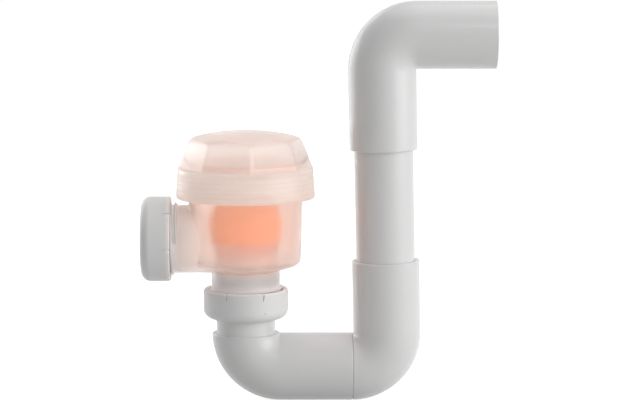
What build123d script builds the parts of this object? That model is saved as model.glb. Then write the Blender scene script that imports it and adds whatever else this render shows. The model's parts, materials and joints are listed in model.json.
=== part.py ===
from build123d import *
import os
from math import acos, cos, degrees, radians, sin, sqrt, tan

# Ball-type condensate trap for 40 mm waste pipe, in millimetres, +Z up.
# A clear moulded chamber takes the inlet pipe at its side and the outlet spigot from below.
# The ball seats on a standpipe inside it, and three bends with a riser lead to the outlet.
# The origin is on the inlet axis, where the inlet pipe's end stops. +X runs to the outlet.

# Waste pipe and cemented sockets
PIPE_R = 20.0            # outside radius of the plain pipe and of each spigot
PIPE_WALL = 2.0
FITTING_WALL = 3.0       # what a bend stands out beyond the pipe's radius
GLUE_GAP = 0.1           # radial room for cement in a socket
SOCKET_DEPTH = 32.0
SOCKET_LEAD = 1.0        # chamfer at a socket's mouth
RIM_ROUND = 0.6          # rounding of a socket's outer edge
SHOULDER_ROUND = 0.9     # rounding of the shoulder behind a spigot
END_GAP = 0.5            # between a pipe's end and its stop

# Bends and riser
BEND_INSIDE = 0.5        # radius left at the inside of a bend
FALL = 1.2               # the long bends turn this much past a right angle, in degrees
SPIGOT_BEND_ARM = 17.2   # from the bend to the pipe stop, on the two spigot bends
OUTLET_BEND_ARM = 21.6   # the same on each arm of the double-socket bend
RISER_SHOWN = 75.8       # riser between its two sockets
SPIGOT_SHOWN = 10.3      # spigot between the outlet nut and the first bend's shoulder

# Threaded mouths of the inlet branch and of the neck
SLIP_GAP = 0.3           # radial room round a pipe that slides in
MOUTH_WALL = 2.9         # wall of a mouth, to the root of its thread
STOP_LIP = 1.6           # how far a pipe stop stands in from the pipe's outside
CONE_DEPTH = 3.0         # countersink that takes the seal's cone
CONE_WIDE = 2.0
THREAD_ROOM = 2.1        # root of an outside thread to the root of the inside thread round it
INLET_SHOWN = 23.4       # collar's outside to the inlet's mouth
INLET_DEPTH = 24.0       # inlet's mouth to the pipe stop
NECK_DEPTH = 24.6        # neck's mouth to the spigot's stop

# Standpipe, its seat and the ball
SEAT_ANGLE = 61.6        # slope of the seat, in degrees
SEAT_WIDE = 3.6          # from the standpipe's bore to where the ball touches
SEAT_LAND = 1.0          # how far the seat goes on above that
SEAT_GAP = 0.3           # kept between the ball and the seat
STAND_RIM_Z = -1.1
STAND_WALL = 2.4
RIM_LAND = 1.2           # flat width of the standpipe's rim
RIM_DEPTH = 1.6          # height of the rim's outer edge

# Chamber
WALL = 2.8
BALL_ROOM = 9.6          # ball to the chamber's wall at the floor
CHAMBER_DRAFT = 1.5      # what the wall gains in radius up to the collar
STEP_W = 0.5             # how far the collar stands out, at the root of its thread
STEP_H = 1.0             # height of the slope under the collar
COLLAR_Z = 31.0          # underside of the collar
COLLAR_L = 19.5          # collar's height up to the chamber's rim
FLOOR_Z = -16.7          # height of the floor's outer corner
FLOOR_SLOPE = 18.0       # floor's fall to the neck, in degrees
FLOOR_ROUND = 4.5
STOP_DROP = 2.45         # floor's inside to the spigot's stop, at the standpipe's foot

# Screwed cap
CAP_WALL = 2.6
SKIRT_WALL = 4.4         # skirt's wall outside its thread, at the top
SKIRT_DRAFT = 1.3        # what the skirt gains in radius down to its foot
SKIRT_OVERHANG = 2.5     # skirt's foot below the collar
SKIRT_FLARE = 1.2        # inside flare of the skirt towards its foot
SKIRT_DROP = 2.1         # skirt's top below the chamber's rim
THREAD_DROP = 3.5        # top of the skirt's thread below the chamber's rim
GRIP_TAPER = 6.5         # what the grip loses in radius up to the shoulder
GRIP_H = 16.3
SHOULDER_W = 5.2         # width of the shoulder, in to the dome
SHOULDER_H = 4.8
ROOF_EASE = 0.8          # extra wall where the roof meets the grip inside
DOME_CROWN = 4.0         # rise of the dome
GRIP_SIDES = 8
GRIP_STRIP = 2.6         # width of the round strip left between two flats
LEDGE_H = 0.6            # foot of the flats above the skirt's top
CAP_TURN = 7.0           # where the front strip stands, in degrees from the front
SKIRT_ROUND = 0.8

# Cap gasket
GASKET_T = 1.8
GASKET_W = 3.2
GASKET_GAP = 0.3

# Union nut, slip ring and seal, the same at both mouths
NUT_WALL = 3.5           # nut's wall outside its thread
NUT_L = 20.0
NUT_FLANGE = 3.5
NUT_LAND = 1.7           # flat ring left round the hole in the closed end
NUT_CHAMFER = 0.8
NUT_THREAD = 1.55        # depth of the nut's thread, which the seal and ring pass on their way in
HOLE_GAP = 0.6           # radial room round the pipe in the nut's hole
RING_T = 1.5
RING_GAP = 0.3           # slip ring to the crest of the nut's thread
SEAL_HEAD = 3.0
SEAL_GAP = 0.4           # radial room inside and outside the relaxed seal
SEAL_EASE = 0.12         # seal's cone to the countersink
SEAL_TIP_GAP = 0.7       # seal's tip to the bottom of the countersink
NOTCHES = 7
NOTCH_W = 2.0
NOTCH_L = 5.6
NOTCH_DEPTH = 1.5
INLET_NUT_TURN = 31.0    # how far each nut is screwed round, in degrees
OUTLET_NUT_TURN = 13.0

# Radii that follow from the pipe
FITTING_R = PIPE_R + FITTING_WALL
BEND_R = FITTING_R + BEND_INSIDE
WATER_R = PIPE_R - PIPE_WALL
SOCKET_R = PIPE_R + GLUE_GAP
BORE_R = PIPE_R + SLIP_GAP
STOP_R = PIPE_R - STOP_LIP
STAND_R = STOP_R + STAND_WALL
MOUTH_R = BORE_R + MOUTH_WALL
NUT_BORE_R = MOUTH_R + THREAD_ROOM
NUT_R = NUT_BORE_R + NUT_WALL
NUT_PASS_R = NUT_BORE_R - NUT_THREAD
NUT_ROUND = NUT_R - PIPE_R - HOLE_GAP - NUT_LAND
SEAT_R = STOP_R + SEAT_WIDE
BALL_R = SEAT_R / sin(radians(SEAT_ANGLE))
CHAMBER_FOOT_R = BALL_R + BALL_ROOM + WALL
CHAMBER_TOP_R = CHAMBER_FOOT_R + CHAMBER_DRAFT
COLLAR_R = CHAMBER_TOP_R + STEP_W
CAP_THREAD_R = COLLAR_R + THREAD_ROOM
SKIRT_TOP_R = CAP_THREAD_R + SKIRT_WALL
SKIRT_FOOT_R = SKIRT_TOP_R + SKIRT_DRAFT
GRIP_TOP_R = SKIRT_TOP_R - GRIP_TAPER
DOME_R = GRIP_TOP_R - SHOULDER_W

# Lengths and heights that follow
SPIGOT_BEND_LEG = SPIGOT_BEND_ARM + SOCKET_DEPTH
OUTLET_BEND_LEG = OUTLET_BEND_ARM + SOCKET_DEPTH
INLET_REACH = COLLAR_R + INLET_SHOWN
AXIS_X = INLET_REACH - INLET_DEPTH
FLOOR_FALL = tan(radians(FLOOR_SLOPE))
FLOOR_RISE = WALL / cos(radians(FLOOR_SLOPE))
STOP_Z = FLOOR_Z - (CHAMBER_FOOT_R - STAND_R) * FLOOR_FALL + FLOOR_RISE - STOP_DROP
MOUTH_Z = STOP_Z - NECK_DEPTH
SHOULDER_Z = MOUTH_Z - SEAL_HEAD - RING_T - NUT_FLANGE - SPIGOT_SHOWN
SEAT_SLOPE = tan(radians(SEAT_ANGLE))
SEAT_Z = STAND_RIM_Z - SEAT_LAND * SEAT_SLOPE
BALL_Z = SEAT_Z + BALL_R * cos(radians(SEAT_ANGLE)) + SEAT_GAP / cos(radians(SEAT_ANGLE))
RIM_Z = COLLAR_Z + COLLAR_L
SKIRT_FOOT_Z = COLLAR_Z - SKIRT_OVERHANG
SKIRT_TOP_Z = RIM_Z - SKIRT_DROP
THREAD_TOP_Z = RIM_Z - THREAD_DROP
LEDGE_Z = SKIRT_TOP_Z + LEDGE_H
GRIP_TOP_Z = SKIRT_TOP_Z + GRIP_H
DOME_Z = GRIP_TOP_Z + SHOULDER_H

# The two threaded mouths, seen from the chamber's axis, with +Z pointing out of each
INLET_MOUTH = Plane(origin=(-INLET_REACH, 0, 0), z_dir=(-1, 0, 0), x_dir=(0, -1, 0)).location
NECK_MOUTH = Plane(origin=(0, 0, MOUTH_Z), z_dir=(0, 0, -1), x_dir=(0, -1, 0)).location


def revolved(points):
    """Turn a closed outline of (radius, height) points about the Z axis."""
    return revolve(make_face(Plane.XZ * Polyline(*points, close=True)), Axis.Z)


def round_rim(solid, radius, height, size):
    """Round the circular edge nearest to a radius and a centre at a height on the Z axis."""
    centre = Vector(0, 0, height)
    rims = solid.edges().filter_by(GeomType.CIRCLE)
    rim = min(rims, key=lambda edge: abs(edge.radius - radius) + (edge.arc_center - centre).length)
    return fillet(rim, size)


def tube(outer, inner, low, high):
    """A tube on the Z axis between two heights."""
    return revolved([(inner, low), (outer, low), (outer, high), (inner, high)])


def rod(radius, low, high):
    """A round bar on the Z axis between two heights."""
    return Pos(0, 0, (low + high) / 2) * Cylinder(radius, high - low)


# Chamber

def floor_height(radius):
    """Height of the sloping floor's underside at a radius."""
    return FLOOR_Z - (CHAMBER_FOOT_R - radius) * FLOOR_FALL


def chamber_outside():
    """Collar, tapered wall, sloping floor and neck as one turned form."""
    wall = revolved([
        (0, RIM_Z), (COLLAR_R, RIM_Z), (COLLAR_R, COLLAR_Z), (CHAMBER_TOP_R, COLLAR_Z - STEP_H),
        (CHAMBER_FOOT_R, FLOOR_Z), (MOUTH_R, floor_height(MOUTH_R)), (MOUTH_R, MOUTH_Z), (0, MOUTH_Z)])
    return round_rim(wall, CHAMBER_FOOT_R, FLOOR_Z, FLOOR_ROUND)


def chamber_inside():
    """The open space, one wall in from the outside, down to the standpipe's foot."""
    corner = CHAMBER_FOOT_R - WALL
    corner_z = floor_height(corner) + FLOOR_RISE
    foot_z = floor_height(STAND_R) + FLOOR_RISE
    space = revolved([
        (0, RIM_Z), (CHAMBER_TOP_R - WALL, RIM_Z), (CHAMBER_TOP_R - WALL, COLLAR_Z - STEP_H),
        (corner, corner_z), (STAND_R, foot_z), (0, foot_z)])
    return round_rim(space, corner, corner_z, FLOOR_ROUND - WALL / 2)


def branch(radius, start, end):
    """A round bar on the inlet axis from one X to another."""
    return Pos((start + end) / 2, 0, 0) * Rot(0, 90, 0) * Cylinder(radius, end - start)


def mouth_cutter():
    """Countersink of a threaded mouth, with +Z pointing out of it."""
    top = BORE_R + CONE_WIDE
    return revolved([(0, -CONE_DEPTH), (BORE_R, -CONE_DEPTH), (top, 0), (top, CONE_DEPTH), (0, CONE_DEPTH)])


def standpipe():
    """The pipe inside the chamber, flared at its top into the ball's seat."""
    lip = SEAT_R + SEAT_LAND
    rim = lip + RIM_LAND
    throat_z = SEAT_Z - SEAT_WIDE * SEAT_SLOPE
    under_z = STAND_RIM_Z - RIM_DEPTH
    return revolved([
        (STOP_R, STOP_Z), (STAND_R, STOP_Z), (STAND_R, under_z - (rim - STAND_R) * SEAT_SLOPE),
        (rim, under_z), (rim, STAND_RIM_Z), (lip, STAND_RIM_Z), (STOP_R, throat_z)])


def trap_body():
    """The moulded chamber with its inlet branch, neck and standpipe."""
    mouth_x = -INLET_DEPTH
    body = chamber_outside() + branch(MOUTH_R, mouth_x - AXIS_X, 0)
    body -= chamber_inside()
    body -= branch(BORE_R, mouth_x - AXIS_X, -AXIS_X) + branch(STOP_R, -AXIS_X, 0)
    body -= rod(BORE_R, MOUTH_Z, STOP_Z) + rod(STOP_R, STOP_Z, STAND_RIM_Z)
    body += standpipe()
    body -= INLET_MOUTH * mouth_cutter()
    body -= NECK_MOUTH * mouth_cutter()
    return body


# Ball

def float_ball():
    """The ball on its seat."""
    return Pos(0, 0, BALL_Z) * Sphere(BALL_R)


# Cap

def cap_gasket():
    """Flat ring on the chamber's rim."""
    return tube(COLLAR_R, COLLAR_R - GASKET_W, RIM_Z, RIM_Z + GASKET_T)


def dome_arc(edge_r, edge_z, top_z):
    """Arc of a dome from its edge to its top, centred on the Z axis."""
    crown = top_z - edge_z
    sphere = (edge_r ** 2 + crown ** 2) / (2 * crown)
    half = edge_r / 2
    middle = (half, top_z - sphere + sqrt(sphere ** 2 - half ** 2))
    return ThreePointArc((edge_r, edge_z), middle, (0, top_z))


def cap_outside():
    """Skirt, tapered grip and dome as one turned form."""
    dome = dome_arc(DOME_R, DOME_Z, DOME_Z + DOME_CROWN)
    outline = [
        Line((0, SKIRT_FOOT_Z), (SKIRT_FOOT_R, SKIRT_FOOT_Z)),
        Line((SKIRT_FOOT_R, SKIRT_FOOT_Z), (SKIRT_TOP_R, SKIRT_TOP_Z)),
        Line((SKIRT_TOP_R, SKIRT_TOP_Z), (GRIP_TOP_R, GRIP_TOP_Z)),
        TangentArc((DOME_R, DOME_Z), (GRIP_TOP_R, GRIP_TOP_Z), tangent=-(dome % 0)),
        dome,
        Line((0, DOME_Z + DOME_CROWN), (0, SKIRT_FOOT_Z))]
    form = revolve(make_face(Plane.XZ * Curve(outline)), Axis.Z)
    return round_rim(form, SKIRT_FOOT_R, SKIRT_FOOT_Z, SKIRT_ROUND)


def grip_flats():
    """The ring of waste outside the tapered eight-sided grip."""
    slope = GRIP_TAPER / GRIP_H
    foot_r = SKIRT_TOP_R - LEDGE_H * slope
    half_side = 180 / GRIP_SIDES - degrees(GRIP_STRIP / 2 / foot_r)
    apothem = foot_r * cos(radians(half_side))
    height = DOME_Z + DOME_CROWN - LEDGE_Z
    taper = degrees(acos(1 / sqrt(1 + (slope * cos(radians(half_side))) ** 2)))
    sides = RegularPolygon(apothem, GRIP_SIDES, major_radius=False, rotation=CAP_TURN - 90)
    core = extrude(Pos(0, 0, LEDGE_Z) * sides, height, taper=taper)
    return rod(SKIRT_FOOT_R, LEDGE_Z, LEDGE_Z + height) - core


def cap_inside():
    """The open space inside the cap: threaded skirt, gasket seat and roof."""
    seat_z = RIM_Z + GASKET_T
    seat_r = COLLAR_R + GASKET_GAP
    ease_z = THREAD_TOP_Z + CAP_THREAD_R - seat_r
    roof_z = DOME_Z + DOME_CROWN - CAP_WALL
    wide_r = CAP_THREAD_R + SKIRT_FLARE
    throat_r = COLLAR_R - GASKET_W / 2
    roof_r = DOME_R - CAP_WALL
    roof_edge = DOME_Z - CAP_WALL - ROOF_EASE
    turn_z = seat_z + (throat_r - roof_r) * GRIP_H / GRIP_TAPER
    outline = [
        Polyline((0, SKIRT_FOOT_Z), (wide_r, SKIRT_FOOT_Z), (CAP_THREAD_R, THREAD_TOP_Z), (seat_r, ease_z),
                 (seat_r, seat_z), (throat_r, seat_z), (roof_r, min(turn_z, roof_edge - ROOF_EASE)),
                 (roof_r - ROOF_EASE, roof_edge)),
        dome_arc(roof_r - ROOF_EASE, roof_edge, roof_z),
        Line((0, roof_z), (0, SKIRT_FOOT_Z))]
    return revolve(make_face(Plane.XZ * Curve(outline)), Axis.Z)


def screw_cap():
    """The domed cap with its eight-sided grip."""
    return cap_outside() - grip_flats() - cap_inside()


# Union at a threaded mouth, with +Z pointing out of the mouth and the mouth at zero

def seal():
    """Soft ring: a head on the mouth's face and a cone in its countersink."""
    bore = PIPE_R + SEAL_GAP
    cone_r = BORE_R + CONE_WIDE - SEAL_EASE
    tip_z = SEAL_TIP_GAP - CONE_DEPTH
    tip_r = cone_r + tip_z * CONE_WIDE / CONE_DEPTH
    head_r = NUT_PASS_R - SEAL_GAP
    return revolved([(bore, tip_z), (tip_r, tip_z), (cone_r, 0), (head_r, 0), (head_r, SEAL_HEAD),
                     (bore, SEAL_HEAD)])


def slip_ring():
    """Hard flat ring that lets the nut turn without dragging the seal."""
    return tube(NUT_PASS_R - RING_GAP, PIPE_R + SEAL_GAP, SEAL_HEAD, SEAL_HEAD + RING_T)


def notch():
    """One V-shaped grip notch, cut into the rim at the nut's open end."""
    open_z = SEAL_HEAD + RING_T + NUT_FLANGE - NUT_L
    vee = Polyline((-NOTCH_W / 2, open_z - NOTCH_DEPTH), (NOTCH_W / 2, open_z - NOTCH_DEPTH),
                   (NOTCH_W / 2, open_z), (0, open_z + NOTCH_L), (-NOTCH_W / 2, open_z), close=True)
    face = Plane.XZ * make_face(vee)
    return Pos(0, NOTCH_DEPTH - NUT_R, 0) * extrude(face, 2 * NOTCH_DEPTH)


def union_nut(nut_turn):
    """Round nut with a domed closed end and grip notches round its open rim."""
    seat_z = SEAL_HEAD + RING_T
    end_z = seat_z + NUT_FLANGE
    open_z = end_z - NUT_L
    nut = tube(NUT_R, PIPE_R + HOLE_GAP, open_z, end_z) - rod(NUT_BORE_R, open_z, seat_z)
    nut = round_rim(nut, NUT_R, end_z, NUT_ROUND)
    nut -= tube(NUT_R + NUT_CHAMFER, NUT_R, open_z, end_z)
    bevel = revolved([(NUT_R - NUT_CHAMFER, open_z), (NUT_R + NUT_CHAMFER, open_z),
                      (NUT_R + NUT_CHAMFER, open_z + 2 * NUT_CHAMFER)])
    lead = revolved([(0, open_z), (NUT_BORE_R + NUT_CHAMFER, open_z), (NUT_BORE_R, open_z + NUT_CHAMFER),
                     (0, open_z + NUT_CHAMFER)])
    nut -= bevel + lead
    for turn in range(NOTCHES):
        nut -= Rot(0, 0, nut_turn + turn * 360 / NOTCHES) * notch()
    return nut


# Bends: local +X is the way in, local +Z the way out, and the bend starts at the local origin

def arc_bar(radius, turn):
    """A round bar bent through an angle."""
    return revolve(Plane.YZ * Circle(radius), Axis((0, 0, BEND_R), (0, -1, 0)), revolution_arc=turn)


def exit_location(turn):
    """The place where a bend ends, with local +Z along the way out."""
    angle = radians(turn)
    end = (BEND_R * sin(angle), 0, BEND_R * (1 - cos(angle)))
    return Plane(origin=end, x_dir=(sin(angle), 0, -cos(angle)), z_dir=(cos(angle), 0, sin(angle))).location


def entry_location():
    """The start of a bend, with local +Z pointing back along the way in."""
    return Plane(origin=(0, 0, 0), x_dir=(0, 0, 1), z_dir=(-1, 0, 0)).location


def socket_arm(length):
    """Outside of a socket arm that stands on the local XY plane."""
    return round_rim(rod(FITTING_R, 0, length), FITTING_R, length, RIM_ROUND)


def socket_bore(length):
    """Waterway, pipe stop, socket and lead-in of a socket arm."""
    floor = length - SOCKET_DEPTH
    wide = SOCKET_R + SOCKET_LEAD
    return revolved([(0, 0), (WATER_R, 0), (WATER_R, floor), (SOCKET_R, floor),
                     (SOCKET_R, length - SOCKET_LEAD), (wide, length), (0, length)])


def spigot_bend(turn, spigot):
    """A bend with a plain spigot on its way in and a socket on its way out."""
    way_in, way_out = entry_location(), exit_location(turn)
    bend = round_rim(arc_bar(FITTING_R, turn), FITTING_R, 0, SHOULDER_ROUND)
    body = bend + way_out * socket_arm(SPIGOT_BEND_LEG) + way_in * rod(PIPE_R, 0, spigot)
    body = body - arc_bar(WATER_R, turn) - way_out * socket_bore(SPIGOT_BEND_LEG)
    return body - way_in * rod(WATER_R, 0, spigot)


def socket_bend(turn):
    """A bend with a socket at each end."""
    way_in, way_out = entry_location(), exit_location(turn)
    arm, bore = socket_arm(OUTLET_BEND_LEG), socket_bore(OUTLET_BEND_LEG)
    body = arc_bar(FITTING_R, turn) + way_out * arm + way_in * arm
    return body - arc_bar(WATER_R, turn) - way_out * bore - way_in * bore


def pipework():
    """The three bends and the riser, each placed at the end of the one before it."""
    swept = 90 + FALL
    lean = radians(FALL)
    up = Vector(-sin(lean), 0, cos(lean))
    foot = Vector(AXIS_X + BEND_R + SPIGOT_BEND_LEG, 0, SHOULDER_Z - BEND_R)
    first = Plane(origin=(AXIS_X, 0, SHOULDER_Z), x_dir=(0, 0, -1), z_dir=(1, 0, 0)).location
    second = Plane(origin=foot, x_dir=(1, 0, 0), z_dir=(0, 0, 1)).location
    angle = radians(swept)
    turn_end = foot + Vector(BEND_R * sin(angle), 0, BEND_R * (1 - cos(angle)))
    riser_foot = turn_end + up * (SPIGOT_BEND_LEG - SOCKET_DEPTH + END_GAP)
    riser_length = RISER_SHOWN + 2 * (SOCKET_DEPTH - END_GAP)
    last_start = turn_end + up * (SPIGOT_BEND_LEG + RISER_SHOWN + OUTLET_BEND_LEG)
    across = Vector(cos(lean), 0, sin(lean))
    third = Plane(origin=last_start, x_dir=up, z_dir=across).location
    riser = Plane(origin=riser_foot, x_dir=across, z_dir=up).location
    return {
        "spigot_bend": first * spigot_bend(90, STOP_Z - SHOULDER_Z - END_GAP),
        "riser_foot_bend": second * spigot_bend(swept, SOCKET_DEPTH - END_GAP),
        "riser_pipe": riser * tube(PIPE_R, WATER_R, 0, riser_length),
        "outlet_bend": third * socket_bend(swept)}


def assembly():
    """Every piece by name, in place."""
    pieces = {"trap_body": trap_body(), "float_ball": float_ball(),
              "cap_gasket": cap_gasket(), "screw_cap": screw_cap()}
    unions = (("inlet", INLET_MOUTH, INLET_NUT_TURN), ("outlet", NECK_MOUTH, OUTLET_NUT_TURN))
    for side, place, nut_turn in unions:
        pieces[side + "_seal"] = place * seal()
        pieces[side + "_slip_ring"] = place * slip_ring()
        pieces[side + "_nut"] = place * union_nut(nut_turn)
    pieces = {name: Pos(AXIS_X, 0, 0) * shape for name, shape in pieces.items()}
    return {**pieces, **pipework()}


os.makedirs("parts", exist_ok=True)
for node, shape in assembly().items():
    export_step(shape, "parts/" + node + ".step")
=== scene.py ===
import json
from math import cos, pi, radians, sin

import bpy
from mathutils import Matrix, Vector

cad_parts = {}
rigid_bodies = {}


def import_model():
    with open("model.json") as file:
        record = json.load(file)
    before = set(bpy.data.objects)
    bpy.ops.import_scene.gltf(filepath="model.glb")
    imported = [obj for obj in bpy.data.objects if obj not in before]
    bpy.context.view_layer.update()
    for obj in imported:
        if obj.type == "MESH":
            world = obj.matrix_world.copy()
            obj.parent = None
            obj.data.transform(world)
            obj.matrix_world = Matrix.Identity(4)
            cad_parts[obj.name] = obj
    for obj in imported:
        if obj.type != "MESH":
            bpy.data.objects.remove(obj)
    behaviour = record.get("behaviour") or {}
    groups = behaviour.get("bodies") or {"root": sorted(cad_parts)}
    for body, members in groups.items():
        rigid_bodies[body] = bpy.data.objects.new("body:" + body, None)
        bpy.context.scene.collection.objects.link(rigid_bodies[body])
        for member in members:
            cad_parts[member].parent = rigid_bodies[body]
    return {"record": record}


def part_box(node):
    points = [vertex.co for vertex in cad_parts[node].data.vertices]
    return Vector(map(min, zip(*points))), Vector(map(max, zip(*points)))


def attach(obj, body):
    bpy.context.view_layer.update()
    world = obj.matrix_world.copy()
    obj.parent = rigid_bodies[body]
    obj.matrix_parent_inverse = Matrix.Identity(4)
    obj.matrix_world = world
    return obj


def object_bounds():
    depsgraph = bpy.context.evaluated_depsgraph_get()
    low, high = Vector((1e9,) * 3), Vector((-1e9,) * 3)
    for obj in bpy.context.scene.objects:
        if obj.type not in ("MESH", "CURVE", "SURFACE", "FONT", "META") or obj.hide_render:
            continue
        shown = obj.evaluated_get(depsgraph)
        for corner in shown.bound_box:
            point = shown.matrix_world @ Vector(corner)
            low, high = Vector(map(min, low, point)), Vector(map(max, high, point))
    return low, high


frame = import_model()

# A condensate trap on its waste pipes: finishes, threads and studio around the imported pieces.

cad_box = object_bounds()
MM = 0.001
X, Z = 0, 2


# Node trees

class Signal:
    """A value in a node tree, which adds Math nodes when it is used in an expression."""

    def __init__(self, tree, socket):
        self.tree, self.socket = tree, socket

    def maths(self, operation, *others):
        node = self.tree.nodes.new("ShaderNodeMath")
        node.operation = operation
        for slot, value in zip(node.inputs, (self,) + others):
            if isinstance(value, Signal):
                self.tree.links.new(value.socket, slot)
            else:
                slot.default_value = value
        return Signal(self.tree, node.outputs[0])

    def __add__(self, other):
        return self.maths("ADD", other)

    def __sub__(self, other):
        return self.maths("SUBTRACT", other)

    def __rsub__(self, other):
        return self * -1 + other

    def __mul__(self, other):
        return self.maths("MULTIPLY", other)

    def __lt__(self, other):
        return self.maths("LESS_THAN", other)

    def __gt__(self, other):
        return self.maths("GREATER_THAN", other)

    __radd__ = __add__
    __rmul__ = __mul__

    def clamped(self):
        return self.maths("MAXIMUM", 0.0).maths("MINIMUM", 1.0)

    def above(self, edge, fade):
        """Nothing up to an edge, rising to one over the width of the fade."""
        return ((self - edge) * (1 / fade)).clamped()

    def below(self, edge, fade):
        """Nothing down to an edge, rising to one over the width of the fade."""
        return ((edge - self) * (1 / fade)).clamped()

    def near(self, place, reach):
        """One at a place, falling to nothing at the reach on either side of it."""
        return (1.0 - (self - place).maths("ABSOLUTE") * (1 / reach)).clamped()

    def length(self, other):
        """Length of the vector that has this value and another as its sides."""
        return (self * self + other * other).maths("SQRT")


MIX_COLOURS, MIX_RESULT = (6, 7), 2                        # a Mix node's sockets for colours


class Nodes:
    """The node tree of a material or a world, with one method that adds any node."""

    def __init__(self, owner):
        owner.use_nodes = True
        self.tree = owner.node_tree
        self.tree.nodes.clear()

    def node(self, kind, settings=None, **sockets):
        made = self.tree.nodes.new("ShaderNode" + kind)
        for key, value in (settings or {}).items():
            setattr(made, key, value)
        for key, value in sockets.items():
            self.feed(made.inputs[key.replace("_", " ")], value)
        return made

    def feed(self, slot, value):
        """Link a signal or a node's first output to a socket, or set a plain value on it."""
        if isinstance(value, Signal):
            self.tree.links.new(value.socket, slot)
        elif isinstance(value, bpy.types.Node):
            self.tree.links.new(value.outputs[0], slot)
        else:
            slot.default_value = value

    def feed_pair(self, made, places, first, second):
        """Feed two sockets that share one name, by their places on the node."""
        for place, value in zip(places, (first, second)):
            self.feed(made.inputs[place], value)
        return made

    def out(self, made, name=0):
        return Signal(self.tree, made.outputs[name])

    def place(self):
        return self.out(self.node("TexCoord"), "Object")

    def axes(self):
        made = self.node("SeparateXYZ", Vector=self.place())
        return [self.out(made, axis) for axis in "XYZ"]

    def noise(self, scale, detail, stretch=(1, 1, 1)):
        spread = self.node("Mapping", Vector=self.place(), Scale=stretch)
        return self.out(self.node("TexNoise", Vector=self.out(spread), Scale=scale, Detail=detail), "Fac")

    def bump(self, height, depth, strength, **base):
        return self.out(self.node("Bump", Height=height, Distance=depth, Strength=strength, **base))

    def blend(self, factor, first, second):
        """A colour between two others."""
        made = self.node("Mix", {"data_type": "RGBA"}, Factor=factor)
        return self.out(self.feed_pair(made, MIX_COLOURS, first, second), MIX_RESULT)

    def mix(self, share, first, second):
        """A shader between two others."""
        return self.feed_pair(self.node("MixShader", Fac=share), (1, 2), first, second)

    def seen(self):
        """One for the rays that show a backdrop: straight, mirrored or through clear plastic."""
        path = self.node("LightPath")
        return (self.out(path, "Is Camera Ray") + self.out(path, "Is Glossy Ray")
                + self.out(path, "Is Transmission Ray")).clamped()


class Finish(Nodes):
    """A material under construction."""

    def __init__(self, name):
        self.material = bpy.data.materials.new(name)
        super().__init__(self.material)

    def show(self, shader):
        self.node("OutputMaterial", Surface=shader)
        return self.material

    def surface(self, **sockets):
        return self.show(self.node("BsdfPrincipled", **sockets))


def rgba(red, green, blue):
    return (red, green, blue, 1.0)


# The object's own places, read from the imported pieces

def span(node, axis):
    low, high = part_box(node)
    return low[axis], high[axis]


SEAL_HEAD = 3.0 * MM                                       # seal's head, on the face of its mouth
INLET_X = span("inlet_seal", X)[0] + SEAL_HEAD             # face of the inlet's mouth
NECK_Z = span("outlet_seal", Z)[0] + SEAL_HEAD             # face of the neck's mouth
INLET_MILKY_LIT, NECK_MILKY_LIT = 19.0 * MM, 18.0 * MM             # how far each mouth is milky and lit with painted light, past its thread
AXIS_X = sum(span("float_ball", X)) / 2                    # upright axis of the chamber
BRANCH_ROOT_X = AXIS_X - 31.0 * MM                         # where the branch's sides leave the chamber
STAND_TOP = span("float_ball", Z)[0] + 15.0 * MM           # just above the standpipe's rim
STAND_FOOT = STAND_TOP - 17.5 * MM
STAND_EDGE = 24.6 * MM                                     # just outside that rim
NECK_TOP = STAND_TOP - 21.5 * MM
COLLAR_Z = span("screw_cap", Z)[0] + 2.5 * MM              # underside of the chamber's collar
LEDGE_Z = span("screw_cap", Z)[1] - 24.5 * MM              # foot of the cap's flats, on its skirt
SHOULDER_Z = LEDGE_Z + 19.4 * MM                           # between the cap's flats and its dome
NUT_PITCH, CAP_PITCH = 3.6 * MM, 3.2 * MM


# Finishes

def frosted(made, tints, milk, haze, veil, veil_share, painted_glow, gloss, edge, relief=0.0):
    """Frosted plastic: see-through, with a share of milky haze and a share of solid veil, which glows with
    painted light.

    The skin is finely blasted, with any relief of its own, and edges are softened over a radius.
    Thin walls hardly bend what lies behind them, so the index of refraction is low.
    """
    cloud = made.noise(42.0, detail=3.0)
    grain = made.noise(1900.0, detail=1.0)
    ripple = made.noise(110.0, detail=1.5)
    softened = made.node("Bevel", {"samples": 4}, Radius=edge)
    skin = made.bump(grain * 0.35 + ripple * 0.65 + relief, 0.12 * MM, 0.6, Normal=softened)
    clear = made.node("BsdfPrincipled", Base_Color=made.blend(cloud, *tints), Normal=skin,
                      Roughness=0.34 + cloud * 0.08, Transmission_Weight=1.0, IOR=1.17,
                      Coat_Weight=gloss, Coat_Roughness=0.09, Coat_IOR=1.45)
    milky = made.node("BsdfTranslucent", Color=milk, Normal=skin)
    # The solid veil's emission is painted light: the plastic is no lamp.
    solid = made.node("BsdfPrincipled", Base_Color=veil, Normal=skin, Roughness=0.35,
                      Emission_Color=veil, Emission_Strength=painted_glow)
    return made.show(made.mix(veil_share, made.mix(haze, clear, milky), solid))


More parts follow.
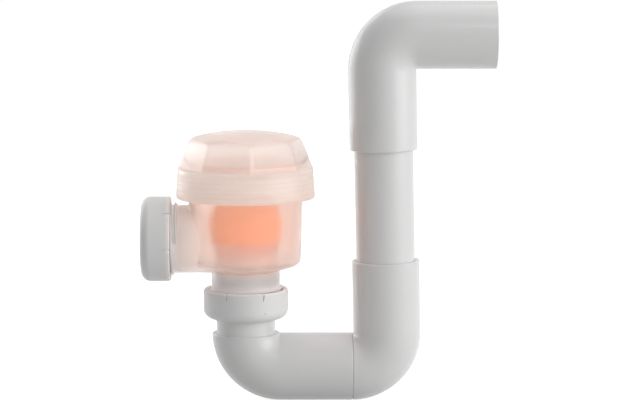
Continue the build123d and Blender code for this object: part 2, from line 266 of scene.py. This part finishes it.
def body_plastic():
    """Frosted plastic of the chamber, milkier at the standpipe and at each threaded mouth, with painted
    orange light from the ball on the standpipe and painted light at each mouth.
    """
    made = Finish("frosted_chamber")
    across, along, up = made.axes()
    off_axis = (across - AXIS_X).length(along)
    stand = (off_axis < STAND_EDGE) * (up < STAND_TOP) * (up > STAND_FOOT)
    depth = up.below(STAND_TOP, STAND_TOP - STAND_FOOT)
    neck = up.below(NECK_TOP, 3.85 * MM)
    collar = up.above(COLLAR_Z, 2.5 * MM)
    past_thread = across.above(INLET_X + 16.5 * MM, 6.67 * MM)
    branch = across.below(BRANCH_ROOT_X, 13.33 * MM) * (past_thread * 0.35 + 0.1)
    # Near each mouth the wall turns to a milky, solid white veil whose painted light lifts the shade by the
    # union nut.
    lit_mouths = (across.below(INLET_X + INLET_MILKY_LIT, 2.5 * MM)
              + up.below(NECK_Z + NECK_MILKY_LIT, 4.0 * MM)).clamped()

    collar_tint = rgba(0.990, 0.960, 0.945)
    neck_tint = rgba(0.79, 0.81, 0.825)
    branch_tint = rgba(0.50, 0.62, 0.64)
    tints = []
    for shade in (rgba(0.935, 0.835, 0.785), rgba(0.950, 0.860, 0.820)):
        shade = made.blend(neck, made.blend(collar, shade, collar_tint), neck_tint)
        tints.append(made.blend(branch, shade, branch_tint))

    # Pink-orange veil on the standpipe, strongest just under the ball: painted light from the orange ball.
    orange_bounce_veil = made.blend(depth, rgba(1.0, 0.74, 0.69), rgba(0.99, 0.85, 0.80))
    veil = made.blend(stand, rgba(1.0, 0.93, 0.90), orange_bounce_veil)
    veil = made.blend(lit_mouths, veil, rgba(0.95, 0.935, 0.935))
    return frosted(made, tints, milk=rgba(0.985, 0.915, 0.88), haze=0.25 + stand * 0.35, veil=veil,
                   veil_share=0.05 + stand * (0.08 + depth * 0.55) + lit_mouths * 0.65,
                   painted_glow=0.07, gloss=0.7, edge=0.5 * MM)


def cap_plastic():
    """Frosted plastic of the cap, hazier at the skirt, where its thread shows as fine lines, with painted
    light over the dark creases at the foot of the flats and under the dome.
    """
    made = Finish("frosted_cap")
    across, along, up = made.axes()
    turn = along.maths("ARCTAN2", across - AXIS_X) * (0.5 / pi)
    turns_up = up * (1 / CAP_PITCH) - turn
    skirt = up.below(LEDGE_Z - 2.2 * MM, 1.11 * MM)
    line = turns_up.maths("FRACT").near(0.5, 1 / 9) * skirt
    foot = up.below(LEDGE_Z + 8.0 * MM, 8.0 * MM)
    # Milky, glowing veil at the step below the flats and at the crease under the dome: painted light over
    # their dark lines.
    lit_ledge = up.near(LEDGE_Z, 2.22 * MM)
    lit_shoulder = up.near(SHOULDER_Z, 3.33 * MM)

    foot_tint = rgba(1.0, 0.972, 0.945)
    line_tint = rgba(0.74, 0.66, 0.62)
    tints = [made.blend(line, made.blend(foot, shade, foot_tint), line_tint)
             for shade in (rgba(0.890, 0.868, 0.853), rgba(0.908, 0.888, 0.876))]
    haze = (0.34 + skirt * 0.26 + line * 0.2 + (lit_ledge + lit_shoulder) * 0.4).clamped()
    # The veil's warm colour is also the colour of its painted glow.
    return frosted(made, tints, milk=rgba(0.985, 0.955, 0.935), haze=haze, veil=rgba(1.0, 0.88, 0.82),
                   veil_share=skirt * 0.22 + lit_ledge * 0.3 + lit_shoulder * 0.06,
                   painted_glow=0.12, gloss=0.9, edge=2.0 * MM, relief=line * 2.5)


def clear_ridge(name, alpha):
    """Clear thread ridges, which only partly veil what lies behind them."""
    made = Finish(name)
    cloud = made.noise(60.0, detail=2.0)
    return made.surface(Base_Color=made.blend(cloud, rgba(0.94, 0.90, 0.88), rgba(0.98, 0.95, 0.93)),
                        Roughness=0.22 + cloud * 0.06, Alpha=alpha, IOR=1.45)


def ball_plastic():
    """Saturated orange ball with a satin skin and a faint painted glow."""
    made = Finish("orange_ball")
    mottle = made.noise(90.0, detail=2.0)
    skin = made.noise(1400.0, detail=1.0)
    colour = made.blend(mottle, rgba(0.98, 0.276, 0.050), rgba(1.0, 0.331, 0.067))
    # The emission is painted glow: the ball is no lamp.
    return made.surface(Base_Color=colour, Roughness=0.36 + mottle * 0.08,
                        Normal=made.bump(skin, 0.06 * MM, 0.5), IOR=1.49,
                        Emission_Color=rgba(1.0, 0.26, 0.02), Emission_Strength=0.16)


def pipe_plastic():
    """Smooth white moulded waste fittings, with a faint orange peel and upright flow marks."""
    made = Finish("white_waste_plastic")
    mottle = made.noise(26.0, detail=3.0)
    peel = made.noise(520.0, detail=1.5)
    flow = made.noise(60.0, detail=1.0, stretch=(1, 1, 0.25))
    colour = made.blend(mottle, rgba(0.785, 0.785, 0.780), rgba(0.820, 0.818, 0.815))
    return made.surface(Base_Color=colour, Roughness=0.34 + mottle * 0.10,
                        Normal=made.bump(peel * 0.5 + flow * 0.5, 0.10 * MM, 0.45),
                        IOR=1.46, Coat_Weight=0.35, Coat_Roughness=0.12)


def nut_plastic():
    """Dull white of the union nuts, with a painted highlight round the open rim of each."""
    made = Finish("white_nut_plastic")
    mottle = made.noise(48.0, detail=3.0)
    grain = made.noise(1200.0, detail=2.0)
    across, _, up = made.axes()
    side_rim, top_rim = span("inlet_nut", X)[1], span("outlet_nut", Z)[1]
    # Painted highlight: paler bands at each nut's open rim, where light catches it.
    lit_rims = (across.above(side_rim - 3.2 * MM, 1.11 * MM) * across.below(side_rim + MM, 1.11 * MM)
            + up.above(top_rim - 1.2 * MM, 0.67 * MM) * up.below(top_rim + MM, 0.67 * MM))
    colour = made.blend(mottle, rgba(0.860, 0.857, 0.855), rgba(0.900, 0.897, 0.893))
    return made.surface(Base_Color=made.blend(lit_rims, colour, rgba(1.0, 0.965, 0.960)),
                        Roughness=0.42 + mottle * 0.12, Normal=made.bump(grain, 0.08 * MM, 0.6), IOR=1.46)


def rubber(name, dark, light):
    """Moulded rubber with a dull bloom."""
    made = Finish(name)
    bloom = made.noise(160.0, detail=4.0)
    grain = made.noise(2400.0, detail=1.0)
    return made.surface(Base_Color=made.blend(bloom, dark, light), Roughness=0.62 + bloom * 0.16,
                        Normal=made.bump(grain, 0.06 * MM, 0.7), IOR=1.5)


def ring_plastic():
    """Natural polyethylene of the slip rings."""
    made = Finish("slip_ring_plastic")
    mottle = made.noise(120.0, detail=2.0)
    return made.surface(Base_Color=made.blend(mottle, rgba(0.78, 0.78, 0.74), rgba(0.84, 0.84, 0.80)),
                        Roughness=0.50 + mottle * 0.10, Normal=made.bump(mottle, 0.08 * MM, 0.5), IOR=1.5)


FINISHES = {
    "clear_plastic": body_plastic(),
    "ball_plastic": ball_plastic(),
    "pipe_plastic": pipe_plastic(),
    "nut_plastic": nut_plastic(),
    "ring_plastic": ring_plastic(),
    "seal_rubber": rubber("black_seal_rubber", rgba(0.018, 0.018, 0.019), rgba(0.040, 0.040, 0.042)),
    "cap_rubber": rubber("orange_gasket_rubber", rgba(0.97, 0.60, 0.50), rgba(0.98, 0.66, 0.57)),
}
CAP_FINISH = cap_plastic()
CAP_RIDGE_FINISH = clear_ridge("clear_cap_thread", 0.24)
MOUTH_RIDGE_FINISH = clear_ridge("clear_mouth_thread", 0.85)


def dress_nodes():
    """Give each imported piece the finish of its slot, and the cap its own."""
    for part in frame["record"]["subparts"]:
        materials = bpy.data.objects[part["node"]].data.materials
        materials.clear()
        is_cap = part["node"] == "screw_cap"
        materials.append(CAP_FINISH if is_cap else FINISHES[part["material_slot"]])


# Modelling

SMOOTH_UNDER = radians(35)


def deselect():
    bpy.ops.object.select_all(action="DESELECT")


def settle(piece, finish, body):
    """Apply a piece's place, smooth it, and hand it to its body."""
    deselect()
    piece.select_set(True)
    bpy.context.view_layer.objects.active = piece
    bpy.ops.object.transform_apply(location=True, rotation=True, scale=True)
    bpy.ops.object.shade_smooth_by_angle(angle=SMOOTH_UNDER)
    piece.data.materials.clear()
    piece.data.materials.append(finish)
    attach(piece, body)


# Thread sizes: a ridge's widths in pitches, its steps in a turn, and its radii at the root and crest
RIDGE_FOOT, RIDGE_LAND, TURN_STEPS = 0.72, 0.20, 72
MOUTH_ROOT, MOUTH_CREST = 23.2 * MM, 24.9 * MM
NUT_ROOT, NUT_CREST = 25.3 * MM, 23.75 * MM
COLLAR_ROOT, COLLAR_CREST = 39.4 * MM, 41.1 * MM
CAP_ROOT, CAP_CREST = 42.5 * MM, 39.9 * MM
BURY = 0.15 * MM                                           # how deep a ridge is sunk in its wall
NUT_START, NUT_TURNS = -10.1 * MM, 2.3                     # measured from the face of the mouth
COLLAR_TURNS, CAP_TURNS = 4.4, 3.7


def ridge_outline(name, root, crest, pitch, start):
    """The flat outline of a ridge in the XZ plane, wide at its root and narrow at its crest."""
    depth = abs(crest - root)
    deselect()
    bpy.ops.mesh.primitive_plane_add(size=1.0, rotation=(pi / 2, 0, 0))
    ridge = bpy.context.object
    ridge.name = name
    bpy.ops.object.transform_apply(location=False, rotation=True, scale=False)
    bpy.ops.object.mode_set(mode="EDIT")
    bpy.ops.mesh.select_all(action="SELECT")
    bpy.ops.transform.resize(value=(depth, 1, pitch * RIDGE_FOOT))
    bpy.ops.transform.translate(value=((root + crest) / 2, 0, start))
    bpy.ops.mesh.select_all(action="DESELECT")
    bpy.ops.object.mode_set(mode="OBJECT")
    for point in ridge.data.vertices:
        point.select = abs(point.co.x - crest) < depth / 4
    bpy.ops.object.mode_set(mode="EDIT")
    bpy.ops.transform.resize(value=(1, 1, RIDGE_LAND / RIDGE_FOOT), center_override=(crest, 0, start))
    bpy.ops.object.mode_set(mode="OBJECT")
    return ridge


def thread(name, root, crest, pitch, turns, start, spin=0.0):
    """A helical ridge about Z that rises from a start height, with both of its ends closed."""
    ridge = ridge_outline(name, root, crest, pitch, start)
    helix = ridge.modifiers.new("helix", "SCREW")
    helix.axis = "Z"
    helix.angle = 2 * pi * turns
    helix.screw_offset = pitch * turns
    helix.steps = helix.render_steps = int(TURN_STEPS * turns)
    helix.use_merge_vertices = False
    bpy.ops.object.modifier_apply(modifier="helix")
    bpy.ops.object.mode_set(mode="EDIT")
    bpy.ops.mesh.select_all(action="DESELECT")
    bpy.ops.mesh.select_mode(type="EDGE")
    bpy.ops.mesh.select_non_manifold()
    bpy.ops.mesh.edge_face_add()
    bpy.ops.mesh.select_all(action="SELECT")
    bpy.ops.mesh.normals_make_consistent(inside=False)
    bpy.ops.object.mode_set(mode="OBJECT")
    ridge.rotation_euler = (0, 0, spin)
    bpy.ops.object.transform_apply(location=False, rotation=True, scale=False)
    return ridge


def union_threads(side, mouth, outward, start, turns, spin):
    """Threads of one union: on the trap's mouth and, half a pitch away, inside the nut."""
    face_on = Vector((0, 0, 1)).rotation_difference(outward).to_matrix().to_4x4()
    lag = (NUT_START - start) / NUT_PITCH - 0.5
    outer = thread(side + "_mouth_thread", MOUTH_ROOT - BURY, MOUTH_CREST, NUT_PITCH, turns, start, spin)
    inner = thread(side + "_nut_thread", NUT_ROOT + BURY, NUT_CREST, NUT_PITCH, NUT_TURNS, NUT_START,
                   spin + 2 * pi * lag)
    for ridge, body, slot, finish in ((outer, "trap", "clear_plastic", MOUTH_RIDGE_FINISH),
                                      (inner, side + "_union", "nut_plastic", FINISHES["nut_plastic"])):
        ridge.matrix_world = Matrix.Translation(mouth) @ face_on
        settle(ridge, finish, body)


def cap_threads():
    """Threads on the chamber's collar and, half a pitch away, inside the cap's skirt."""
    start = span("cap_gasket", Z)[0] - 18.2 * MM
    outer = thread("collar_thread", COLLAR_ROOT - BURY, COLLAR_CREST, CAP_PITCH, COLLAR_TURNS, start)
    inner = thread("cap_thread", CAP_ROOT + BURY, CAP_CREST, CAP_PITCH, CAP_TURNS, start + CAP_PITCH / 2)
    for ridge, body in ((outer, "trap"), (inner, "cap")):
        ridge.location = (AXIS_X, 0, 0)
        settle(ridge, CAP_RIDGE_FINISH, body)


def mould_dot():
    """Small raised spot that the mould leaves on the lower nut."""
    low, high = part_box("outlet_nut")
    nut_radius, height, turn = (high[X] - low[X]) / 2, 7.1 * MM, radians(28.6)
    dot_radius, flatness = 0.8 * MM, 0.55
    place = (AXIS_X + nut_radius * sin(turn), -nut_radius * cos(turn), low[Z] + height)
    deselect()
    bpy.ops.mesh.primitive_uv_sphere_add(segments=24, ring_count=12, radius=dot_radius, location=place)
    dot = bpy.context.object
    dot.name = "outlet_nut_mould_dot"
    dot.rotation_euler = (0, 0, turn)
    dot.scale = (1.0, flatness, 1.0)
    settle(dot, FINISHES["nut_plastic"], "outlet_union")


# Studio

SURROUND = 0.31                                            # light from all round, where white is 1
FLOOR_LIFT = 0.83                                          # brings the lit floor up to white
MIDDLE = Vector((AXIS_X + 0.05, 0, 0.02))                  # between the chamber and the riser


def set_up(name, data, place, target):
    """Put a lamp or the camera in its place, facing a target."""
    holder = bpy.data.objects.new(name, data)
    bpy.context.scene.collection.objects.link(holder)
    facing = (target - place).to_track_quat("-Z", "Y").to_matrix().to_4x4()
    holder.matrix_world = Matrix.Translation(place) @ facing
    return holder


def lamp(name, place, size, power):
    """A soft square lamp aimed at the middle of the object."""
    light = bpy.data.lights.new(name, "AREA")
    light.shape, light.size, light.energy = "SQUARE", size, power
    set_up(name, light, Vector(place), MIDDLE)


def floor_finish():
    """White floor that still shows the object's shadow."""
    made = Finish("pale_floor")
    fibre = made.noise(30.0, detail=2.0)
    plain = made.node("BsdfDiffuse", Color=made.blend(fibre, rgba(0.60, 0.60, 0.60), rgba(0.62, 0.62, 0.62)))
    lift = made.node("Emission", Color=rgba(1, 1, 1), Strength=FLOOR_LIFT)
    lifted = made.feed_pair(made.node("AddShader"), (0, 1), plain, lift)
    return made.show(made.mix(made.seen(), plain, lifted))


def floor():
    """A wide floor at the height of the object's lowest point."""
    deselect()
    bpy.ops.mesh.primitive_plane_add(size=60.0, location=(0, 0, cad_box[0][Z]))
    sheet = bpy.context.object
    sheet.name = "floor"
    sheet.data.materials.append(floor_finish())


def world():
    """Even grey light all round, seen as white behind and through the object."""
    sky = bpy.data.worlds.new("studio")
    bpy.context.scene.world = sky
    made = Nodes(sky)
    strength = SURROUND + made.seen() * (1.0 - SURROUND)
    made.node("OutputWorld", Surface=made.node("Background", Color=rgba(1, 1, 1), Strength=strength))


def studio():
    """Big lamp at the right, weaker ones at the left and above, and three small ones for the cap's edges."""
    world()
    lamp("right_softbox", (1.7, -0.75, 0.35), 1.5, 21.5)
    lamp("left_softbox", (-1.05, 1.0, 0.12), 1.2, 9.0)
    lamp("top_softbox", (0.1, 0.25, 1.6), 1.4, 6.2)
    lamp("corner_light", (0.41, -1.29, 0.98), 0.25, 1.1)
    lamp("shoulder_light", (0.57, 0.79, 1.52), 0.45, 1.2)
    lamp("left_shoulder_light", (-0.61, 1.38, 0.96), 0.6, 1.2)
    floor()


def camera():
    """The photograph's view: from just above, with a long lens."""
    turn, rise, away = radians(0.42), radians(7.46), 1.85
    focal_px, frame_px, sensor = 2726.5, 640, 36.0
    target = Vector((0.0893, 0, 0.0264))
    back = Vector((-sin(turn) * cos(rise), -cos(turn) * cos(rise), sin(rise)))
    lens = bpy.data.cameras.new("camera")
    lens.sensor_width, lens.lens = sensor, sensor * focal_px / frame_px
    lens.clip_end = 100.0
    bpy.context.scene.camera = set_up("camera", lens, target + back * away, target)


camera()
dress_nodes()
union_threads("inlet", mouth=Vector((INLET_X, 0, 0)), outward=Vector((-1, 0, 0)),
              start=-16.3 * MM, turns=4.1, spin=radians(270))
union_threads("outlet", mouth=Vector((AXIS_X, 0, NECK_Z)), outward=Vector((0, 0, -1)),
              start=-14.0 * MM, turns=3.5, spin=0.0)
cap_threads()
mould_dot()
studio()
bpy.context.scene.view_settings.view_transform = "Standard"
